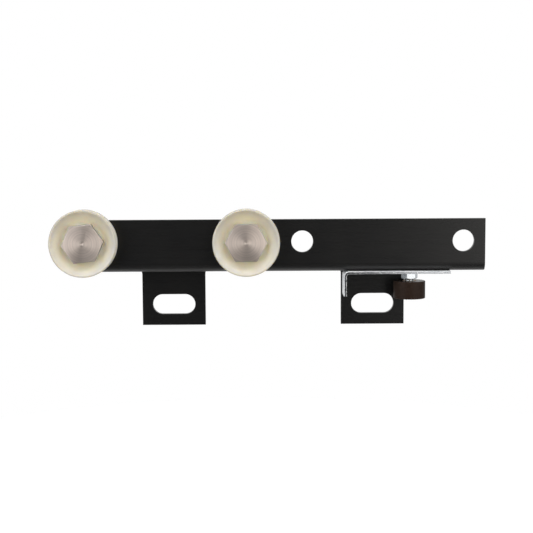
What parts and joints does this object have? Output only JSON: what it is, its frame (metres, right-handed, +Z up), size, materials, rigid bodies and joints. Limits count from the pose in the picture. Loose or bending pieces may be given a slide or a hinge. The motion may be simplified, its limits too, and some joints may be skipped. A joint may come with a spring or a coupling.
{
  "type": "sliding door roller hanger",
  "caption": "Folded steel hanger for a sliding door, with grooved nylon rollers on an upright face, slotted tabs for the panel and a small driver roller on an L bracket.",
  "frame": {"origin": "midway between the middles of the two hanging slots, in the back face of the tabs", "axes": "+X along the carrier from the rollers towards the spare holes, +Y from the front face towards the door panel, +Z up"},
  "size_m": [0.338, 0.0433, 0.0945],
  "materials": {
    "black_paint": "satin black stove enamel",
    "zinc_sheet": "bright zinc plate on sheet",
    "zinc_fastener": "bright zinc plate",
    "steel_fastener": "plain zinc plate",
    "turned_steel": "faced on a lathe, fine rings",
    "natural_nylon": "natural nylon, slightly translucent, satin",
    "bearing_steel": "ground",
    "cage_brass": "machined",
    "driver_brown": "dark brown phenolic, satin",
    "bush_bronze": "sintered bronze"
  },
  "bodies": {
    "carrier": {"carrier_plate": "black_paint", "driver_bracket": "zinc_sheet", "bracket_screw": "steel_fastener", "bracket_screw_washer": "steel_fastener", "end_axle": "turned_steel", "end_spacer": "steel_fastener", "end_plain_washer": "steel_fastener", "end_spring_washer": "steel_fastener", "end_nut": "steel_fastener", "end_inner_race": "bearing_steel", "mid_axle": "turned_steel", "mid_spacer": "steel_fastener", "mid_plain_washer": "steel_fastener", "mid_spring_washer": "steel_fastener", "mid_nut": "steel_fastener", "mid_inner_race": "bearing_steel", "driver_stud": "zinc_fastener", "driver_lock_nut": "zinc_fastener", "driver_end_washer": "steel_fastener", "driver_clip": "steel_fastener"},
    "driver_wheel": {"driver_roller": "driver_brown", "driver_bush": "bush_bronze"},
    "end_roller": {"end_tyre": "natural_nylon", "end_outer_race": "bearing_steel", "end_front_shield": "bearing_steel", "end_back_shield": "bearing_steel"},
    "end_ball_set": {"end_balls": "bearing_steel", "end_cage": "cage_brass"},
    "mid_roller": {"mid_tyre": "natural_nylon", "mid_outer_race": "bearing_steel", "mid_front_shield": "bearing_steel", "mid_back_shield": "bearing_steel"},
    "mid_ball_set": {"mid_balls": "bearing_steel", "mid_cage": "cage_brass"}
  },
  "joints": [
    {"name": "end_roller_spin", "type": "hinge", "parent": "carrier", "child": "end_roller", "pos_m": [-0.1467, -0.03675, 0.0517], "axis": [0, 1, 0], "continuous": true},
    {"name": "end_ball_set_spin", "type": "hinge", "parent": "carrier", "child": "end_ball_set", "pos_m": [-0.1467, -0.033, 0.0517], "axis": [0, 1, 0], "continuous": true},
    {"name": "mid_roller_spin", "type": "hinge", "parent": "carrier", "child": "mid_roller", "pos_m": [-0.02095, -0.03675, 0.0517], "axis": [0, 1, 0], "continuous": true},
    {"name": "mid_ball_set_spin", "type": "hinge", "parent": "carrier", "child": "mid_ball_set", "pos_m": [-0.02095, -0.033, 0.0517], "axis": [0, 1, 0], "continuous": true},
    {"name": "driver_roller_spin", "type": "hinge", "parent": "carrier", "child": "driver_wheel", "pos_m": [0.1073, -0.0185, 0.0125], "axis": [0, 0, 1], "continuous": true}
  ],
  "couplings": [
    {"joint": "end_ball_set_spin", "follows": "end_roller_spin", "ratio": 0.5745},
    {"joint": "mid_ball_set_spin", "follows": "mid_roller_spin", "ratio": 0.5745}
  ]
}
